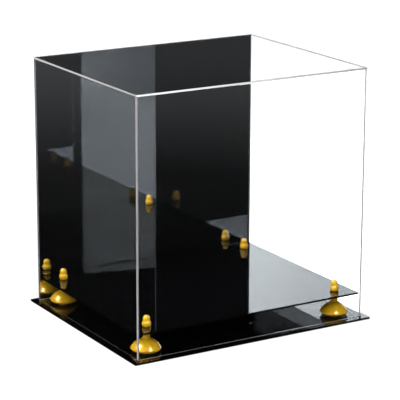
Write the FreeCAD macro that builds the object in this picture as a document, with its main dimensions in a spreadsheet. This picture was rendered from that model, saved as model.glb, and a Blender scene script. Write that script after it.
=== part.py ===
"""Display case: a clear cover with a mirror back over a black platform on four gold risers.

Millimetres. +Z is up, +X runs along the mirror, +Y points from the front panel to the mirror.
The origin is the middle of the base plate's underside.
"""
import FreeCAD, Part
import math
import os
import re

import Sketcher
from FreeCAD import Vector

os.makedirs("parts", exist_ok=True)
doc = FreeCAD.newDocument("DisplayCase")

# Driving dimensions

SIZES = {
    # clear cover, outside sizes
    "cover_width": 387.0,
    "cover_depth": 318.0,
    "cover_height": 384.0,
    "cover_sheet": 3.0,
    "mirror_sheet": 3.0,
    "cement_gap": 0.05,
    # base plate and platform
    "base_sheet": 3.0,
    "base_overhang": 9.5,
    "platform_sheet": 3.0,
    "platform_gap": 1.0,
    "edge_break": 0.3,
    # risers: a small foot under a bell with a rolled rim, and a neck up to the platform
    "rim_margin": 5.6,
    "rim_radius": 21.6,
    "rim_height": 6.2,
    "rim_round": 1.5,
    "lip_inset": 1.6,
    "foot_inset": 11.0,
    "foot_height": 3.4,
    "bell_height": 14.5,
    "bell_bulge": 1.8,
    "neck_radius": 5.5,
    "neck_length": 14.3,
    "neck_fillet": 2.0,
    # finials: a rounded bead with a bullet on top
    "finial_foot_radius": 5.5,
    "bead_height": 8.3,
    "bead_bulge": 1.45,
    "bullet_radius": 5.2,
    "bullet_height": 3.5,
    "waist_fillet": 2.5,
    # countersunk screws, with a crossed slot in the head
    "screw_radius": 2.0,
    "screw_engagement": 9.0,
    "screw_tip": 0.6,
    "head_radius": 4.0,
    "head_edge": 0.3,
    "head_recess": 0.1,
    "slot_length": 4.4,
    "slot_width": 0.9,
    "slot_depth": 1.5,
    # clearances round the screws
    "hole_clearance": 0.25,
    "seat_clearance": 0.1,
    "thread_clearance": 0.05,
    "tip_clearance": 1.0,
}

sheet = doc.addObject("Spreadsheet::Sheet", "Sizes")
for row, (alias, size) in enumerate(SIZES.items(), start=1):
    sheet.set(f"A{row}", alias)
    sheet.set(f"B{row}", str(size))
    sheet.setAlias(f"B{row}", alias)
doc.recompute()


def arc_radius(run, rise, bulge):
    """Radius of an arc whose chord has this run and rise and whose middle stands out by bulge."""
    return f"((({run})^2 + ({rise})^2) / 4 + {bulge}^2) / (2 * {bulge})"


# Sizes that several pieces share, as expressions of the driving dimensions

HALF_WIDTH = "cover_width / 2"
HALF_DEPTH = "cover_depth / 2"
INSIDE_X = f"({HALF_WIDTH} - cover_sheet)"
INSIDE_FRONT = f"({HALF_DEPTH} - cover_sheet)"
INSIDE_BACK = f"({HALF_DEPTH} - mirror_sheet)"
WALL_HEIGHT = "(cover_height - cover_sheet - cement_gap)"
RISER_X = f"({INSIDE_X} - rim_margin - rim_radius)"
RISER_Y = f"({HALF_DEPTH} - cover_sheet - rim_margin - rim_radius)"
RISER_HEIGHT = "(rim_height + bell_height + neck_length)"
PLATFORM_BOTTOM = f"(base_sheet + {RISER_HEIGHT})"
PLATFORM_TOP = f"({PLATFORM_BOTTOM} + platform_sheet)"
HOLE_RADIUS = "(screw_radius + hole_clearance)"
SINK_RADIUS = "(head_radius + head_recess + head_edge + seat_clearance)"
SCREW_LENGTH = f"({PLATFORM_TOP} + screw_engagement - head_recess)"
SINK_ANGLE = 90

# Side of the middle, in X and in Y, on which each corner of the case lies
CORNERS = {
    "front_left": (-1, -1),
    "front_right": (1, -1),
    "back_left": (-1, 1),
    "back_right": (1, 1),
}


# Sketches and bodies

def bound(expression):
    """The expression with each size name pointing to its cell."""
    return re.sub("[a-z_]+", r"Sizes.\g<0>", expression)


def value(expression):
    """What the expression comes to now."""
    return float(sheet.evalExpression(bound(expression)))


def new_body(label, x="0", y="0", z="0"):
    """Body for one piece, placed by expressions."""
    body = doc.addObject("PartDesign::Body", label)
    body.Label = label
    for axis, place in zip("xyz", (x, y, z)):
        body.setExpression(f"Placement.Base.{axis}", bound(place))
    return body


def new_sketch(body, name, plane):
    """Sketch on one of the body's own origin planes."""
    sketch = body.newObject("Sketcher::SketchObject", f"{body.Label}_{name}")
    origin_plane = next(item for item in body.Origin.OriginFeatures if item.Role == plane)
    sketch.AttachmentSupport = [(origin_plane, "")]
    sketch.MapMode = "FlatFace"
    return sketch


def constrain(sketch, *constraint):
    return sketch.addConstraint(Sketcher.Constraint(*constraint))


def dimension(sketch, expression, kind, *where):
    """Constraint whose size follows the expression."""
    index = constrain(sketch, kind, *where, value(expression))
    sketch.setExpression(f"Constraints[{index}]", bound(expression))


def dimension_point(sketch, geometry, position, x, y):
    """Ties a point of the sketch to its distances from the origin."""
    for place, kind, axis in ((x, "DistanceX", -2), (y, "DistanceY", -1)):
        if place == "0":
            constrain(sketch, "PointOnObject", geometry, position, axis)
        else:
            dimension(sketch, place, kind, -1, 1, geometry, position)


def draw_outline(sketch, points):
    """Closed outline, drawn anticlockwise through points.

    A point is a pair, x and y, where a straight edge leaves it. A third entry is the radius of an arc that
    leaves it instead and stands out from the outline.
    """
    count = len(points)
    vertices = [Vector(value(x), value(y)) for x, y, *_ in points]
    for edge, (x, y, *arc) in enumerate(points):
        start = vertices[edge]
        end = vertices[(edge + 1) % count]
        if arc:
            radius = value(arc[0])
            chord = end - start
            bulge = radius - math.sqrt(max(radius ** 2 - chord.Length ** 2 / 4, 0))
            outward = Vector(chord.y, -chord.x).normalize()
            sketch.addGeometry(Part.Arc(start, (start + end) / 2 + outward * bulge, end))
        else:
            sketch.addGeometry(Part.LineSegment(start, end))
    for edge, (x, y, *arc) in enumerate(points):
        constrain(sketch, "Coincident", edge, 2, (edge + 1) % count, 1)
        dimension_point(sketch, edge, 1, x, y)
        if arc:
            dimension(sketch, arc[0], "Radius", edge)


def pad(body, sketch, height):
    feature = body.newObject("PartDesign::Pad", f"{body.Label}_pad")
    feature.Profile = sketch
    feature.setExpression("Length", bound(height))
    doc.recompute()
    return feature


def revolve(body, points):
    """Turned shape: the outline gives radius and height, and goes round the body's Z axis."""
    sketch = new_sketch(body, "section", "XZ_Plane")
    draw_outline(sketch, points)
    feature = body.newObject("PartDesign::Revolution", f"{body.Label}_turned")
    feature.Profile = sketch
    feature.ReferenceAxis = (sketch, ["V_Axis"])
    feature.Angle = 360
    doc.recompute()
    return feature


def round_edge(body, base, name, at_radius, at_height, fillet_radius):
    """Rounds the circular edge that lies at this radius and height."""
    tolerance = 1e-4
    edges = []
    for number, edge in enumerate(base.Shape.Edges, start=1):
        if edge.Degenerated or not isinstance(edge.Curve, Part.Circle):
            continue
        off_radius = abs(edge.Curve.Radius - value(at_radius))
        off_height = abs(edge.Curve.Center.z - value(at_height))
        if max(off_radius, off_height) < tolerance:
            edges.append(f"Edge{number}")
    feature = body.newObject("PartDesign::Fillet", f"{body.Label}_{name}")
    feature.Base = (base, edges)
    feature.setExpression("Radius", bound(fillet_radius))
    doc.recompute()
    return feature


# Flat sheets

def sheet_piece(label, x_range, y_range, bottom, height):
    """Piece cut from sheet, standing or lying square to the axes."""
    (left, right), (front, back) = x_range, y_range
    body = new_body(label, z=bottom)
    sketch = new_sketch(body, "outline", "XY_Plane")
    draw_outline(sketch, [(left, front), (right, front), (right, back), (left, back)])
    pad(body, sketch, height)
    return body


def break_edges(body):
    """Takes the sharpness off every edge of a plain sheet."""
    base = body.Tip
    feature = body.newObject("PartDesign::Chamfer", f"{body.Label}_edge_break")
    feature.Base = (base, [f"Edge{number}" for number in range(1, len(base.Shape.Edges) + 1)])
    feature.setExpression("Size", bound("edge_break"))
    doc.recompute()


def drill_for_screws(body, sink_radius=None):
    """A hole on each riser's axis, from the underside, countersunk there if a sink radius is given."""
    sketch = new_sketch(body, "hole_centres", "XY_Plane")
    for number, (side_x, side_y) in enumerate(CORNERS.values()):
        x = f"{side_x} * {RISER_X}"
        y = f"{side_y} * {RISER_Y}"
        circle = Part.Circle(Vector(value(x), value(y)), Vector(0, 0, 1), value(HOLE_RADIUS))
        sketch.addGeometry(circle)
        dimension_point(sketch, number, 3, x, y)
        dimension(sketch, HOLE_RADIUS, "Radius", number)
    before = body.Tip.Shape.Volume
    feature = body.newObject("PartDesign::Hole", f"{body.Label}_holes")
    feature.Profile = sketch
    doc.recompute()
    feature.Reversed = True
    feature.DepthType = "ThroughAll"
    feature.setExpression("Diameter", bound(f"2 * {HOLE_RADIUS}"))
    if sink_radius:
        feature.HoleCutType = "Countersink"
        feature.HoleCutCustomValues = True
        feature.setExpression("HoleCutDiameter", bound(f"2 * {sink_radius}"))
        feature.HoleCutCountersinkAngle = SINK_ANGLE
    doc.recompute()
    if feature.Shape.Volume >= before:
        raise RuntimeError(f"{body.Label}: the holes cut nothing")


def base_plate():
    reach_x = f"({HALF_WIDTH} + base_overhang)"
    reach_y = f"({HALF_DEPTH} + base_overhang)"
    body = sheet_piece(
        "base_plate", (f"-{reach_x}", reach_x), (f"-{reach_y}", reach_y), "0", "base_sheet")
    break_edges(body)
    drill_for_screws(body, SINK_RADIUS)
    return body


def platform():
    reach_x = f"({INSIDE_X} - platform_gap)"
    front = f"-({INSIDE_FRONT} - platform_gap)"
    back = f"({INSIDE_BACK} - platform_gap)"
    body = sheet_piece("platform", (f"-{reach_x}", reach_x), (front, back), PLATFORM_BOTTOM, "platform_sheet")
    break_edges(body)
    drill_for_screws(body)
    return body


def cover():
    """Front and mirror run the full width, the sides stand between them, and the top lies over all four."""
    full_x = (f"-{HALF_WIDTH}", HALF_WIDTH)
    full_y = (f"-{HALF_DEPTH}", HALF_DEPTH)
    side_y = (f"-({INSIDE_FRONT} - cement_gap)", f"({INSIDE_BACK} - cement_gap)")
    top_bottom = "(base_sheet + cover_height - cover_sheet)"
    return [
        sheet_piece("front_panel", full_x, (f"-{HALF_DEPTH}", f"-{INSIDE_FRONT}"), "base_sheet", WALL_HEIGHT),
        sheet_piece("mirror_panel", full_x, (INSIDE_BACK, HALF_DEPTH), "base_sheet", WALL_HEIGHT),
        sheet_piece("left_panel", (f"-{HALF_WIDTH}", f"-{INSIDE_X}"), side_y, "base_sheet", WALL_HEIGHT),
        sheet_piece("right_panel", (INSIDE_X, HALF_WIDTH), side_y, "base_sheet", WALL_HEIGHT),
        sheet_piece("top_panel", full_x, full_y, top_bottom, "cover_sheet"),
    ]


# Turned pieces at each corner

def riser(corner, x, y):
    shoulder = "(rim_height + bell_height)"
    foot_radius = "(rim_radius - foot_inset)"
    bell_radius = arc_radius("rim_radius - neck_radius", "bell_height", "bell_bulge")
    points = [
        (HOLE_RADIUS, "0"),
        (foot_radius, "0"),
        (foot_radius, "foot_height"),
        ("(rim_radius - lip_inset)", "foot_height"),
        ("rim_radius", "rim_height", bell_radius),
        ("neck_radius", shoulder),
        ("neck_radius", RISER_HEIGHT),
        (HOLE_RADIUS, RISER_HEIGHT),
    ]
    body = new_body(f"{corner}_riser", x, y, "base_sheet")
    turned = revolve(body, points)
    rim = round_edge(body, turned, "rim_round", "rim_radius", "rim_height", "rim_round")
    round_edge(body, rim, "neck_fillet", "neck_radius", shoulder, "neck_fillet")
    return body


def finial(corner, x, y):
    bore_radius = "(screw_radius + thread_clearance)"
    bore_depth = "(screw_engagement + tip_clearance)"
    dome_height = "(bead_height + bullet_height)"
    bead_radius = arc_radius("finial_foot_radius - bullet_radius", "bead_height", "bead_bulge")
    points = [
        (bore_radius, "0"),
        ("finial_foot_radius", "0", bead_radius),
        ("bullet_radius", "bead_height"),
        ("bullet_radius", dome_height, "bullet_radius"),
        ("0", f"({dome_height} + bullet_radius)"),
        ("0", bore_depth),
        (bore_radius, bore_depth),
    ]
    body = new_body(f"{corner}_finial", x, y, PLATFORM_TOP)
    turned = revolve(body, points)
    round_edge(body, turned, "waist_fillet", "bullet_radius", "bead_height", "waist_fillet")
    return body


def screw(corner, x, y):
    """Flat head at the bottom, shank up to the tip inside the finial."""
    cone_top = "(head_edge + head_radius - screw_radius)"
    points = [
        ("0", "0"),
        ("head_radius", "0"),
        ("head_radius", "head_edge"),
        ("screw_radius", cone_top),
        ("screw_radius", f"({SCREW_LENGTH} - screw_tip)"),
        ("(screw_radius - screw_tip)", SCREW_LENGTH),
        ("0", SCREW_LENGTH),
    ]
    body = new_body(f"{corner}_screw", x, y, "head_recess")
    turned = revolve(body, points)
    long = "slot_length / 2"
    short = "slot_width / 2"
    arm = [(long, f"-{short}"), (long, short), (short, short)]
    cross = []
    for _ in range(4):
        cross += arm
        arm = [(f"-1 * ({across})", along) for along, across in arm]
    sketch = new_sketch(body, "cross", "XY_Plane")
    draw_outline(sketch, cross)
    slot = body.newObject("PartDesign::Pocket", f"{body.Label}_cross_slot")
    slot.Profile = sketch
    slot.Reversed = True
    slot.setExpression("Length", bound("slot_depth"))
    doc.recompute()
    if slot.Shape.Volume >= turned.Shape.Volume:
        raise RuntimeError(f"{body.Label}: the slot cuts nothing")
    return body


pieces = [base_plate(), platform()]
pieces += cover()
for corner, (side_x, side_y) in CORNERS.items():
    axis_x = f"{side_x} * {RISER_X}"
    axis_y = f"{side_y} * {RISER_Y}"
    pieces += [make(corner, axis_x, axis_y) for make in (riser, finial, screw)]

# Checks, then one file for each piece

doc.recompute()
for item in doc.Objects:
    if {"Invalid", "Error"} & set(item.State):
        raise RuntimeError(f"{item.Label}: {item.State}")
for piece in pieces:
    shape = piece.Shape
    if shape.isNull() or not shape.isValid() or len(shape.Solids) != 1:
        raise RuntimeError(f"{piece.Label}: not one sound solid")
for piece in pieces:
    piece.Shape.exportStep(f"parts/{piece.Label}.step")
    print(f"{piece.Label}: {piece.Shape.Volume / 1000:.2f} cm3")
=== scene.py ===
import math

import bpy
from mathutils import Matrix, Vector

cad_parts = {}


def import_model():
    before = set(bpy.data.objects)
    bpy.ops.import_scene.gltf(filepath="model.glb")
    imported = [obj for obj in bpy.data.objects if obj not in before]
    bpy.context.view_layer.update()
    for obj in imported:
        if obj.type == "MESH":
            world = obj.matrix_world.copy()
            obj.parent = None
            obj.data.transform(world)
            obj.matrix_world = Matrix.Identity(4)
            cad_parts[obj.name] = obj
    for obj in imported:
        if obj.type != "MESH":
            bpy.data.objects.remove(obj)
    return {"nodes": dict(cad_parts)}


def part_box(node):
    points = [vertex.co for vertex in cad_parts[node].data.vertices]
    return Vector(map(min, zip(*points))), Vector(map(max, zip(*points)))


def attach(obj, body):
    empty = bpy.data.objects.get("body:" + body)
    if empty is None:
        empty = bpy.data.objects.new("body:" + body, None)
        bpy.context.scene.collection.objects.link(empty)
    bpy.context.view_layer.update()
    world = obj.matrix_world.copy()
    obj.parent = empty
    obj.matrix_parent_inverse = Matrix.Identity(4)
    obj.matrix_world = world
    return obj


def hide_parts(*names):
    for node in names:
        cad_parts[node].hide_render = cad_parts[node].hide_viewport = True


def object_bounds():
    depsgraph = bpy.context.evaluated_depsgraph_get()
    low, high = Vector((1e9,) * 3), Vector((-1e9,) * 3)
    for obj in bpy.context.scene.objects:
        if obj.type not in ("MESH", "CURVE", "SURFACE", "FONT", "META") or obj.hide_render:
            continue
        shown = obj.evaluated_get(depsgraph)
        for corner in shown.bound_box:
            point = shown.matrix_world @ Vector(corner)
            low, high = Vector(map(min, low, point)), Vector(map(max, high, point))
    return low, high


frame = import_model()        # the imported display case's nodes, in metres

cad_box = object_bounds()
scene = bpy.context.scene
MM = 0.001
WELD = 0.002 * MM                   # points closer than this are one point
SMOOTH_ANGLE = math.radians(30)     # turned pieces keep an edge where they turn by more than this


# Mesh work

def deselect():
    bpy.ops.object.select_all(action="DESELECT")


def settle(piece, name):
    """Names a new piece and moves its place, turn and size into its mesh."""
    piece.name = name
    piece.data.name = name
    bpy.ops.object.transform_apply(location=True, rotation=True, scale=True)
    return piece


def bevel(piece, width, segments):
    """Rounds every edge of the piece."""
    modifier = piece.modifiers.new("edge_round", "BEVEL")
    modifier.width = width
    modifier.segments = segments
    modifier.limit_method = "ANGLE"
    bpy.ops.object.modifier_apply(modifier=modifier.name)


def sheet(name, low, high, arris):
    """A flat sheet between two corners, with its sharp edges broken."""
    deselect()
    low, high = Vector(low), Vector(high)
    bpy.ops.mesh.primitive_cube_add(size=1, location=(low + high) / 2, scale=high - low)
    piece = settle(bpy.context.object, name)
    bevel(piece, arris, segments=2)
    return piece


def arc(start, end, bulge, steps):
    """Points of an arc from start to end, without its ends, that stands out by bulge to the right."""
    start, end = Vector(start), Vector(end)
    chord = end - start
    outward = Vector((chord.y, -chord.x)).normalized()
    radius = (chord.length ** 2 / 4 + bulge ** 2) / (2 * bulge)
    centre = (start + end) / 2 + outward * (bulge - radius)
    spoke = start - centre
    sweep = 2 * math.asin(min(1.0, chord.length / (2 * radius)))
    return [tuple(centre + Matrix.Rotation(sweep * step / steps, 2) @ spoke) for step in range(1, steps)]


def rounded(profile, rounds, steps=5):
    """The profile with a round in place of each corner that has a radius in rounds."""
    points = []
    for before, corner, after in zip(profile, profile[1:], profile[2:]):
        if corner not in rounds:
            points.append(corner)
            continue
        radius = rounds[corner]
        here = Vector(corner)
        back = (Vector(before) - here).normalized()
        ahead = (Vector(after) - here).normalized()
        half = back.angle(ahead) / 2
        centre = here + (back + ahead).normalized() * radius / math.sin(half)
        spoke = here + back * radius / math.tan(half) - centre
        turn = math.pi - 2 * half
        if back.x * ahead.y - back.y * ahead.x > 0:
            turn = -turn
        for step in range(steps + 1):
            points.append(tuple(centre + Matrix.Rotation(turn * step / steps, 2) @ spoke))
    return [profile[0], *points, profile[-1]]


def turned(name, axis, profile, fill, sides=96):
    """Raises a ring through the profile's radii and heights, in millimetres over the axis point."""
    deselect()
    radius, height = profile[0]
    foot = axis + Vector((0, 0, height * MM))
    bpy.ops.mesh.primitive_circle_add(vertices=sides, radius=radius * MM, fill_type=fill, location=foot)
    piece = settle(bpy.context.object, name)
    bpy.ops.object.mode_set(mode="EDIT")
    bpy.ops.mesh.select_all(action="SELECT")
    for next_radius, next_height in profile[1:]:
        rise = (next_height - height) * MM
        bpy.ops.mesh.extrude_edges_move(TRANSFORM_OT_translate={"value": (0, 0, rise)})
        spread = next_radius / radius
        middle = axis + Vector((0, 0, next_height * MM))
        bpy.ops.transform.resize(value=(spread, spread, 1), center_override=middle)
        radius, height = next_radius, next_height
    bpy.ops.mesh.select_all(action="SELECT")
    bpy.ops.mesh.remove_doubles(threshold=WELD)
    bpy.ops.mesh.normals_make_consistent(inside=False)
    bpy.ops.object.mode_set(mode="OBJECT")
    bpy.ops.object.shade_smooth_by_angle(angle=SMOOTH_ANGLE)
    return piece


# Materials

ACRYLIC_IOR = 1.49
LACQUER_IOR = 1.5
EDGE_REACH = 0.19       # an edge's painted light fades from this far left of the middle to this far right


def linear(hex_colour):
    """Linear colour of an sRGB hex value."""
    parts = [int(hex_colour[at:at + 2], 16) / 255 for at in (1, 3, 5)]
    return (*[c / 12.92 if c <= 0.04045 else ((c + 0.055) / 1.055) ** 2.4 for c in parts], 1.0)


def new_material(name):
    material = bpy.data.materials.new(name)
    material.use_nodes = True
    material.node_tree.nodes.clear()
    return material, material.node_tree


def add_node(tree, kind, inputs=None, **settings):
    """Adds a node. Each input is linked if it is given a socket, and set if it is given a value."""
    node = tree.nodes.new("ShaderNode" + kind)
    for name, setting in settings.items():
        setattr(node, name, setting)
    for name, source in (inputs or {}).items():
        if isinstance(source, bpy.types.NodeSocket):
            tree.links.new(source, node.inputs[name])
        else:
            node.inputs[name].default_value = source
    return node


def clear_acrylic():
    """Cast acrylic sheet: water-clear, flat and glossy, with faint wipe marks."""
    material, tree = new_material("clear_cast_acrylic")
    place = add_node(tree, "TexCoord").outputs["Object"]
    wipes = add_node(tree, "TexNoise", {"Vector": place, "Scale": 1 / (30 * MM), "Detail": 4})
    gloss = add_node(tree, "MapRange", {
        "Value": wipes.outputs["Fac"], "From Min": 0.3, "From Max": 0.8, "To Min": 0.01, "To Max": 0.018})
    body = add_node(tree, "BsdfPrincipled", {
        "Base Color": linear("#FCFEFE"), "Roughness": gloss.outputs["Result"], "IOR": ACRYLIC_IOR,
        "Transmission Weight": 1.0})
    # lamps shine through the sheets onto what stands inside
    clear = add_node(tree, "BsdfTransparent")
    path = add_node(tree, "LightPath")
    surface = add_node(tree, "MixShader", {
        0: path.outputs["Is Shadow Ray"], 1: body.outputs["BSDF"], 2: clear.outputs["BSDF"]})
    add_node(tree, "OutputMaterial", {"Surface": surface.outputs["Shader"]})
    return material


def acrylic_edge(name, cover, left, right=None):
    """Cut edge of clear sheet, drawn as a satin line whose colour is painted light: the glow of light
    gathered through the sheet, set lighter or darker for each edge, which may fade from left to right as
    painted light.
    The cover is the share of what lies behind that it hides."""
    material, tree = new_material(name)
    place = add_node(tree, "TexCoord").outputs["Object"]
    along = add_node(tree, "SeparateXYZ", {"Vector": place})
    # painted light: the edge's brightness fades along x from its left colour to its right one
    painted_light_fade = add_node(tree, "MapRange", {
        "Value": along.outputs["X"], "From Min": -EDGE_REACH, "From Max": EDGE_REACH})
    colour = add_node(tree, "ValToRGB", {"Fac": painted_light_fade.outputs["Result"]})
    colour.color_ramp.elements[0].color = linear(left)
    colour.color_ramp.elements[1].color = linear(right or left)
    cut = add_node(tree, "TexNoise", {"Vector": place, "Scale": 1 / (2 * MM), "Detail": 3})
    gloss = add_node(tree, "MapRange", {
        "Value": cut.outputs["Fac"], "From Min": 0.3, "From Max": 0.7, "To Min": 0.12, "To Max": 0.3})
    edge = add_node(tree, "BsdfPrincipled", {
        "Base Color": colour.outputs["Color"], "Roughness": gloss.outputs["Result"], "IOR": ACRYLIC_IOR,
        "Alpha": cover})
    add_node(tree, "OutputMaterial", {"Surface": edge.outputs["BSDF"]})
    return material


def mirror_silver():
    """Silvering on the back of a sheet: a clean mirror, a little grey, with a faint wave in it."""
    material, tree = new_material("mirror_silvering")
    place = add_node(tree, "TexCoord").outputs["Object"]
    wave = add_node(tree, "TexNoise", {"Vector": place, "Scale": 1 / (90 * MM), "Detail": 1})
    waviness = add_node(tree, "Bump", {"Height": wave.outputs["Fac"], "Strength": 0.02, "Distance": 0.4 * MM})
    silver = add_node(tree, "BsdfPrincipled", {
        "Base Color": linear("#F0F1F2"), "Metallic": 1.0, "Roughness": 0.01,
        "Normal": waviness.outputs["Normal"]})
    add_node(tree, "OutputMaterial", {"Surface": silver.outputs["BSDF"]})
    return material


def backing_paint():
    """Grey protective paint sprayed over the silvering: satin, with a fine orange peel."""
    material, tree = new_material("grey_mirror_backing_paint")
    place = add_node(tree, "TexCoord").outputs["Object"]
    peel = add_node(tree, "TexNoise", {"Vector": place, "Scale": 1 / (1.5 * MM), "Detail": 2})
    bumps = add_node(tree, "Bump", {"Height": peel.outputs["Fac"], "Strength": 0.15, "Distance": 0.1 * MM})
    patches = add_node(tree, "TexNoise", {"Vector": place, "Scale": 1 / (60 * MM), "Detail": 4})
    colour = add_node(tree, "ValToRGB", {"Fac": patches.outputs["Fac"]})
    colour.color_ramp.elements[0].color = linear("#56585C")
    colour.color_ramp.elements[1].color = linear("#66686C")
    paint = add_node(tree, "BsdfPrincipled", {
        "Base Color": colour.outputs["Color"], "Roughness": 0.45, "Normal": bumps.outputs["Normal"]})
    add_node(tree, "OutputMaterial", {"Surface": paint.outputs["BSDF"]})
    return material


def black_acrylic():
    """Black cast acrylic: a deep gloss that mirrors what stands on it, with faint wipe marks."""
    material, tree = new_material("black_gloss_acrylic")
    place = add_node(tree, "TexCoord").outputs["Object"]
    wipes = add_node(tree, "TexNoise", {"Vector": place, "Scale": 1 / (25 * MM), "Detail": 5})
    gloss = add_node(tree, "MapRange", {
        "Value": wipes.outputs["Fac"], "From Min": 0.4, "From Max": 0.8, "To Min": 0.0, "To Max": 0.03})
    body = add_node(tree, "BsdfPrincipled", {
        "Base Color": linear("#040405"), "Roughness": gloss.outputs["Result"], "IOR": ACRYLIC_IOR})
    add_node(tree, "OutputMaterial", {"Surface": body.outputs["BSDF"]})
    return material


def gold_plastic():
    """Moulded plastic under gold lacquer: mustard, satin-glossy, with a fine metallic grain."""
    material, tree = new_material("gold_lacquered_plastic")
    place = add_node(tree, "TexCoord").outputs["Object"]
    mottle = add_node(tree, "TexNoise", {"Vector": place, "Scale": 1 / (6 * MM), "Detail": 5})
    colour = add_node(tree, "ValToRGB", {"Fac": mottle.outputs["Fac"]})
    colour.color_ramp.elements[0].position = 0.3
    colour.color_ramp.elements[0].color = linear("#CC9A10")
    colour.color_ramp.elements[1].position = 0.7
    colour.color_ramp.elements[1].color = linear("#DEAE1A")
    lacquer = add_node(tree, "BsdfPrincipled", {
        "Base Color": colour.outputs["Color"], "Metallic": 0.15, "Roughness": 0.25, "IOR": LACQUER_IOR,
        "Coat Weight": 1.0, "Coat Roughness": 0.05})
    add_node(tree, "OutputMaterial", {"Surface": lacquer.outputs["BSDF"]})
    return material


def zinc_steel():
    """Zinc-plated steel: pale, bluish and finely grained."""
    material, tree = new_material("zinc_plated_steel")
    place = add_node(tree, "TexCoord").outputs["Object"]
    grain = add_node(tree, "TexNoise", {"Vector": place, "Scale": 1 / (0.4 * MM), "Detail": 3})
    gloss = add_node(tree, "MapRange", {
        "Value": grain.outputs["Fac"], "From Min": 0.3, "From Max": 0.7, "To Min": 0.25, "To Max": 0.42})
    steel = add_node(tree, "BsdfPrincipled", {
        "Base Color": linear("#C6C9CC"), "Metallic": 1.0, "Roughness": gloss.outputs["Result"]})
    add_node(tree, "OutputMaterial", {"Surface": steel.outputs["BSDF"]})
    return material


CLEAR = clear_acrylic()
# painted light: each cut edge's colour stands for the light it gathers through its sheet, set lighter or
# darker one by one for where the edge stands
EDGE = acrylic_edge("polished_edge_painted_light", 0.85, "#B8B6B6", "#B4B4B6")
# painted light: the top sheet's front edge is painted white at the left, fading to grey at the right, as
# light gathered in the sheet falls
LIT_FRONT_EDGE_FADE = acrylic_edge("front_edge_painted_light_fade", 0.95, "#FFFFFF", "#9A9A9C")
END = acrylic_edge("clear_end_painted_light", 0.35, "#F4F4F6", "#E8E8EC")
# the cemented joints' white is partly a real haze of the cement and partly painted light
JOINT = acrylic_edge("cemented_joint_haze_and_painted_light", 0.33, "#F2ECEE")
FOOT = acrylic_edge("sawn_foot_painted_light", 0.85, "#9C9A9C")
# painted shade: the left sheet's bottom end is painted dark grey, a darker copy of the sawn foot, where it
# stands in shade
SHADED_LEFT_FOOT = acrylic_edge("sawn_foot_painted_shade", 0.85, "#48484C")
# painted light: the mirror sheet's bottom end is painted white, a glow of light gathered along the sheet
LIT_MIRROR_FOOT = acrylic_edge("mirror_foot_painted_glow", 0.95, "#FFFFFF")
MIRROR_EDGE = acrylic_edge("sawn_mirror_edge", 0.8, "#686572")
SILVER = mirror_silver()
BACKING = backing_paint()
BLACK = black_acrylic()
GOLD = gold_plastic()
STEEL = zinc_steel()
FLAT = 0.99             # a face whose normal lies this much along one axis is a side of its sheet


def finish_with(piece, *materials):
    piece.data.materials.clear()
    for material in materials:
        piece.data.materials.append(material)


def finish_sides(piece, sides, rest):
    """Gives each side of a sheet, told by its outward axis such as "-x", its material."""
    materials = list(dict.fromkeys([rest, *sides.values()]))
    finish_with(piece, *materials)
    for face in piece.data.polygons:
        axis = max(range(3), key=lambda number: abs(face.normal[number]))
        flat = abs(face.normal[axis]) > FLAT
        side = ("-" if face.normal[axis] < 0 else "+") + "xyz"[axis]
        face.material_index = materials.index(sides.get(side, rest) if flat else rest)


def place_piece(piece, body, node):
    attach(piece, body)
    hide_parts(node)


# Clear cover: the faces of its sheets are clear, their outer ends polished, the ends that meet a sheet
# cemented, and the bottom ends sawn;
# each end's colour is painted light, lighter or darker as light falls on it there

ARRIS = 0.25 * MM
SEAT = Vector((0, 0, 0.05 * MM))    # the bottom ends bear on the base only at their high spots
CLEAR_SHEETS = {
    "front_panel": {"-x": EDGE, "+x": END, "+z": JOINT, "-z": FOOT},
    "left_panel": {"-y": JOINT, "+y": JOINT, "+z": JOINT, "-z": SHADED_LEFT_FOOT},
    "right_panel": {"-y": EDGE, "+y": JOINT, "+z": JOINT, "-z": FOOT},
    "top_panel": {"-x": EDGE, "+x": EDGE, "-y": LIT_FRONT_EDGE_FADE, "+y": EDGE},
}
for node, sides in CLEAR_SHEETS.items():
    low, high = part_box(node)
    panel = sheet(node + "_sheet", low + SEAT, high, ARRIS)
    finish_sides(panel, sides, CLEAR)
    place_piece(panel, "cover", node)

# Mirror: a clear sheet with silvering on its back, and a coat of grey paint close behind that

PAINT = 0.1 * MM
PAINT_GAP = PAINT / 2
# the mirror sheet's bottom end carries a painted glow of gathered light
MIRROR_SIDES = {"-x": MIRROR_EDGE, "+x": MIRROR_EDGE, "+z": MIRROR_EDGE, "-z": LIT_MIRROR_FOOT, "+y": SILVER}
mirror_low, mirror_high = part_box("mirror_panel")
paint_y = mirror_high.y - PAINT
silver_y = paint_y - PAINT_GAP
mirror_face = sheet("mirror_sheet", mirror_low + SEAT, (mirror_high.x, silver_y, mirror_high.z), ARRIS)
finish_sides(mirror_face, MIRROR_SIDES, CLEAR)
mirror_back = sheet("mirror_back", (mirror_low.x, paint_y, mirror_low.z), mirror_high, PAINT / 4)
finish_with(mirror_back, BACKING)
for piece in (mirror_face, mirror_back):
    place_piece(piece, "cover", "mirror_panel")

# Black sheets and screws keep their solids

CORNERS = ("front_left", "front_right", "back_left", "back_right")
for node in ("base_plate", "platform"):
    finish_with(frame["nodes"][node], BLACK)
for corner in CORNERS:
    finish_with(frame["nodes"][corner + "_screw"], STEEL)


# Gold risers and finials, in millimetres over their own feet

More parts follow.
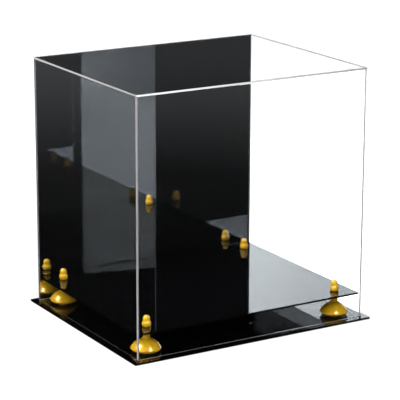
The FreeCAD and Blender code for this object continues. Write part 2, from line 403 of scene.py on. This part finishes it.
def riser_profile():
    """Small foot, a bell with a rolled rim, and a neck, round a bore."""
    bore, foot, lip, rim, neck = 2.25, 10.6, 20.0, 21.6, 5.5
    foot_top, rim_height, shoulder, top = 3.4, 6.2, 20.7, 35.0
    swell = 1.8
    lip_round, rim_round, neck_round = 0.5, 1.5, 1.9
    profile = [(bore, 0.0), (foot, 0.0), (foot, foot_top), (lip, foot_top), (rim, rim_height)]
    profile += arc((rim, rim_height), (neck, shoulder), swell, steps=16)
    profile += [(neck, shoulder), (neck, top), (bore, top), (bore, 0.0)]
    return rounded(profile, {
        (lip, foot_top): lip_round, (rim, rim_height): rim_round, (neck, shoulder): neck_round})


def finial_profile():
    """Bore from below, a rounded bead and a bullet with a domed top."""
    bore, foot, bullet = 2.05, 5.5, 5.2
    depth, waist, dome = 10.0, 8.3, 11.8
    bead = 1.45
    foot_round, waist_round = 0.3, 2.4
    dome_steps = 10
    profile = [(bore, depth), (bore, 0.0), (foot, 0.0)]
    profile += arc((foot, 0.0), (bullet, waist), bead, steps=9)
    profile += [(bullet, waist), (bullet, dome)]
    quarter = [math.radians(90 * step / dome_steps) for step in range(1, dome_steps + 1)]
    profile += [(bullet * math.cos(turn), dome + bullet * math.sin(turn)) for turn in quarter]
    return rounded(profile, {(foot, 0.0): foot_round, (bullet, waist): waist_round})


def at_corners(kind, profile, fill):
    """Turns one gold piece at the first corner and copies it to the others."""
    def foot(corner):
        low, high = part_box(f"{corner}_{kind}")
        return Vector(((low.x + high.x) / 2, (low.y + high.y) / 2, low.z))

    first = foot(CORNERS[0])
    pieces = [turned(f"{CORNERS[0]}_{kind}_turned", first, profile, fill)]
    for corner in CORNERS[1:]:
        deselect()
        pieces[0].select_set(True)
        bpy.context.view_layer.objects.active = pieces[0]
        bpy.ops.object.duplicate()
        bpy.ops.transform.translate(value=foot(corner) - first)
        pieces.append(settle(bpy.context.object, f"{corner}_{kind}_turned"))
    for corner, piece in zip(CORNERS, pieces):
        node = f"{corner}_{kind}"
        finish_with(piece, GOLD)
        place_piece(piece, "stand" if kind == "riser" else node, node)


at_corners("riser", riser_profile(), "NOTHING")
at_corners("finial", finial_profile(), "NGON")


# Studio: lengths in metres, and strengths against a white of 1

WHITE = (1, 1, 1, 1)
PAPER_GREY = (0.85, 0.85, 0.85, 1)
ROOM_TINT = (0.95, 0.97, 1.0, 1)


def stage_card(name, material, corners):
    """Flat card through four corners."""
    deselect()
    bpy.ops.mesh.primitive_plane_add(size=1)
    card = settle(bpy.context.object, name)
    for vertex, corner in zip(card.data.vertices, corners):
        vertex.co = corner
    finish_with(card, material)
    card.visible_shadow = False


def floor_material():
    """White paper: white to the eye and through the sheets, and a dim room floor in what the case mirrors."""
    material, tree = new_material("white_paper_floor")
    path = add_node(tree, "LightPath")
    paper = add_node(tree, "BsdfDiffuse", {"Color": PAPER_GREY})
    place = add_node(tree, "TexCoord").outputs["Object"]
    away = add_node(tree, "VectorMath", {0: place}, operation="LENGTH")
    # away from the lamps the paper is lifted to white, and close to the case its shadow stays
    bare = add_node(tree, "MapRange", {
        "Value": away.outputs["Value"], "From Min": 0.3, "From Max": 1.2, "To Min": 0.16, "To Max": 0.48})
    # the eye still takes the paper as white where two sheets lie in front of it
    lift = add_node(tree, "MapRange", {
        "Value": path.outputs["Transmission Depth"], "To Min": bare.outputs["Result"], "To Max": 2.1})
    white = add_node(tree, "Emission", {"Color": WHITE, "Strength": lift.outputs["Result"]})
    lifted = add_node(tree, "AddShader", {0: paper.outputs["BSDF"], 1: white.outputs["Emission"]})
    lit = add_node(tree, "MixShader", {
        0: path.outputs["Diffuse Depth"], 1: lifted.outputs["Shader"], 2: paper.outputs["BSDF"]})
    dim = add_node(tree, "MapRange", {
        "Value": away.outputs["Value"], "From Min": 0.6, "From Max": 1.8, "To Min": 0.005, "To Max": 0.06})
    dark = add_node(tree, "Emission", {"Color": ROOM_TINT, "Strength": dim.outputs["Result"]})
    surface = add_node(tree, "MixShader", {
        0: path.outputs["Glossy Depth"], 1: lit.outputs["Shader"], 2: dark.outputs["Emission"]})
    add_node(tree, "OutputMaterial", {"Surface": surface.outputs["Shader"]})
    material.cycles.emission_sampling = "NONE"
    return material


def card_material(name, colour, strengths, fade, reflections, faces):
    """Studio card that lights nothing, with one strength left of the fade and one right of it. It shows only
    in what the case mirrors, after so many reflections and so many faces of clear sheet on the way."""
    material, tree = new_material(name)
    path = add_node(tree, "LightPath")
    mirrored = add_node(tree, "MapRange", {
        "Value": path.outputs["Glossy Depth"], "From Min": reflections - 1, "From Max": reflections})
    crossed = add_node(tree, "MapRange", {
        "Value": path.outputs["Transmission Depth"], "From Min": faces - 1, "From Max": faces})
    clear = add_node(tree, "BsdfTransparent")
    place = add_node(tree, "SeparateXYZ", {"Vector": add_node(tree, "TexCoord").outputs["Object"]})
    strength = add_node(tree, "MapRange", {
        "Value": place.outputs["X"], "From Min": fade[0], "From Max": fade[1],
        "To Min": strengths[0], "To Max": strengths[1]})
    glow = add_node(tree, "Emission", {"Color": linear(colour), "Strength": strength.outputs["Result"]})
    inside = add_node(tree, "MixShader", {
        0: crossed.outputs["Result"], 1: clear.outputs["BSDF"], 2: glow.outputs["Emission"]})
    shown = add_node(tree, "MixShader", {
        0: mirrored.outputs["Result"], 1: clear.outputs["BSDF"], 2: inside.outputs["Shader"]})
    surface = add_node(tree, "MixShader", {
        0: path.outputs["Diffuse Depth"], 1: shown.outputs["Shader"], 2: clear.outputs["BSDF"]})
    add_node(tree, "OutputMaterial", {"Surface": surface.outputs["Shader"]})
    material.cycles.emission_sampling = "NONE"
    return material


def standing(left, right, bottom, top):
    """Corners of an upright card from its left to its right end, each an x and a y."""
    return [(*left, bottom), (*right, bottom), (*left, top), (*right, top)]


def lying(front_left, front_right, back_left, back_right, height=0.0):
    """Corners of a flat card, each from its x and y."""
    return [(*corner, height) for corner in (front_left, front_right, back_left, back_right)]


FLOOR_REACH = 8.0
FLOOR_Z = -0.3 * MM
stage_card("floor", floor_material(), lying(
    (-FLOOR_REACH, -FLOOR_REACH), (FLOOR_REACH, -FLOOR_REACH),
    (-FLOOR_REACH, FLOOR_REACH), (FLOOR_REACH, FLOOR_REACH), FLOOR_Z))

# A bright board behind on the right, which the black sheets and the mirror show, and the lit paper in front
# of it, which shows where two sheets mirror each other. They show only inside the case, so that the right
# panel stays clear: a ray that the outside of one sheet mirrors has crossed its two faces at most. A small
# card does what the board does for the base plate's right corner, outside the cover.
BOARD_WHITE = "#F6FAFF"
BOARD_STRENGTHS = (3.7, 2.75)
BOARD_FADE = (0.7, 0.9)
BOARD_LEFT = (0.612, 0.937)
BOARD_RIGHT = (2.2, 0.6)
BOARD_TOP = 0.55
FOOT_TOP = 0.15         # below this the board is tinted and fades like the paper
FOOT_STRENGTHS = (3.61, 2.26)
CORNER_LEFT = (0.88, 0.86)
CORNER_RIGHT = (1.02, 0.83)
CORNER_BOTTOM = 0.38
CORNER_TOP = 0.5
PAPER_WHITE = "#F0F4FF"
PAPER_STRENGTHS = (2.69, 1.9)
PAPER_FADE = (0.63, 0.75)
PAPER_LEFT = 0.21       # just outside the base plate
PAPER_FRONT = -0.1
PAPER_FOLD = 0.155      # behind this line the paper's left side slants to the right
PAPER_BACK = (0.654, 1.02)
INSIDE = 3              # faces crossed by a ray that is mirrored inside the case

board = card_material(
    "bright_board", BOARD_WHITE, BOARD_STRENGTHS, BOARD_FADE, reflections=1, faces=INSIDE)
stage_card("back_board", board, standing(BOARD_LEFT, BOARD_RIGHT, FOOT_TOP, BOARD_TOP))
board_foot = card_material(
    "bright_board_foot", PAPER_WHITE, FOOT_STRENGTHS, PAPER_FADE, reflections=1, faces=INSIDE)
stage_card("board_foot", board_foot, standing(BOARD_LEFT, BOARD_RIGHT, 0.0, FOOT_TOP))
corner_white = card_material(
    "bright_corner_card", BOARD_WHITE, BOARD_STRENGTHS, BOARD_FADE, reflections=1, faces=0)
stage_card("corner_card", corner_white, standing(CORNER_LEFT, CORNER_RIGHT, CORNER_BOTTOM, CORNER_TOP))
lit_white = card_material(
    "bright_paper", PAPER_WHITE, PAPER_STRENGTHS, PAPER_FADE, reflections=2, faces=INSIDE)
stage_card("lit_paper", lit_white, lying(
    (PAPER_LEFT, PAPER_FRONT), (BOARD_RIGHT[0], PAPER_FRONT),
    (PAPER_LEFT, PAPER_FOLD), (BOARD_RIGHT[0], PAPER_FOLD)))
stage_card("lit_paper_back", lit_white, lying(
    (PAPER_LEFT, PAPER_FOLD), (BOARD_RIGHT[0], PAPER_FOLD), PAPER_BACK, BOARD_RIGHT))


def world():
    """White to the eye and through the sheets, a soft fill for matt faces, and a dark room in mirrors."""
    studio = bpy.data.worlds.new("studio")
    scene.world = studio
    studio.use_nodes = True
    tree = studio.node_tree
    tree.nodes.clear()
    path = add_node(tree, "LightPath")
    lift = add_node(tree, "MapRange", {
        "Value": path.outputs["Transmission Depth"], "To Min": 1.0, "To Max": 2.2})
    white = add_node(tree, "Background", {"Color": WHITE, "Strength": lift.outputs["Result"]})
    dark = add_node(tree, "Background", {"Color": WHITE, "Strength": 0.006})
    fill = add_node(tree, "Background", {"Color": WHITE, "Strength": 0.6})
    seen = add_node(tree, "MixShader", {
        0: path.outputs["Glossy Depth"], 1: white.outputs["Background"], 2: dark.outputs["Background"]})
    surface = add_node(tree, "MixShader", {
        0: path.outputs["Diffuse Depth"], 1: seen.outputs["Shader"], 2: fill.outputs["Background"]})
    add_node(tree, "OutputWorld", {"Surface": surface.outputs["Shader"]})
    studio.cycles.sampling_method = "NONE"


def softbox(name, azimuth, elevation, distance, size, power):
    """Square soft light aimed at the middle of the case; azimuth 0 is in front, 90 on the right."""
    middle = (cad_box[0] + cad_box[1]) / 2
    turn, rise = math.radians(azimuth), math.radians(elevation)
    away = Vector((math.sin(turn) * math.cos(rise), -math.cos(turn) * math.cos(rise), math.sin(rise)))
    data = bpy.data.lights.new(name, "AREA")
    data.shape = "SQUARE"
    data.size = size
    data.energy = power
    lamp = bpy.data.objects.new(name, data)
    scene.collection.objects.link(lamp)
    lamp.location = middle + away * distance
    lamp.rotation_mode = "QUATERNION"
    lamp.rotation_quaternion = away.to_track_quat("Z", "Y")


world()
softbox("front_softbox", azimuth=0, elevation=34, distance=1.1, size=0.3, power=3.7)
softbox("left_softbox", azimuth=-109, elevation=43, distance=2.1, size=0.9, power=27)
softbox("low_fill", azimuth=-68, elevation=12, distance=2.4, size=1.0, power=12)


# Camera, fitted to the edges of the case in the photograph

SENSOR_MM = 36
LENS_MM = 167.43
CLIP_END = 50
EYE = (-1.39226, -2.33142, 0.91737)
TURN = math.radians(-30.9015)
DROP = math.radians(15.2922)
ROLL = math.radians(0.1686)


def camera():
    data = bpy.data.cameras.new("camera")
    data.sensor_width = SENSOR_MM
    data.lens = LENS_MM
    data.clip_end = CLIP_END
    eye = bpy.data.objects.new("camera", data)
    scene.collection.objects.link(eye)
    pose = (Matrix.Rotation(TURN, 4, "Z") @ Matrix.Rotation(math.pi / 2 - DROP, 4, "X")
            @ Matrix.Rotation(ROLL, 4, "Z"))
    eye.matrix_world = Matrix.Translation(EYE) @ pose
    scene.camera = eye


camera()

# Many sheets lie behind each other, so the rays need many bounces
BOUNCES = 32
GLOSSY_BOUNCES = 16
scene.view_settings.view_transform = "Standard"
scene.cycles.max_bounces = BOUNCES
scene.cycles.transmission_bounces = BOUNCES
scene.cycles.glossy_bounces = GLOSSY_BOUNCES
scene.cycles.transparent_max_bounces = BOUNCES
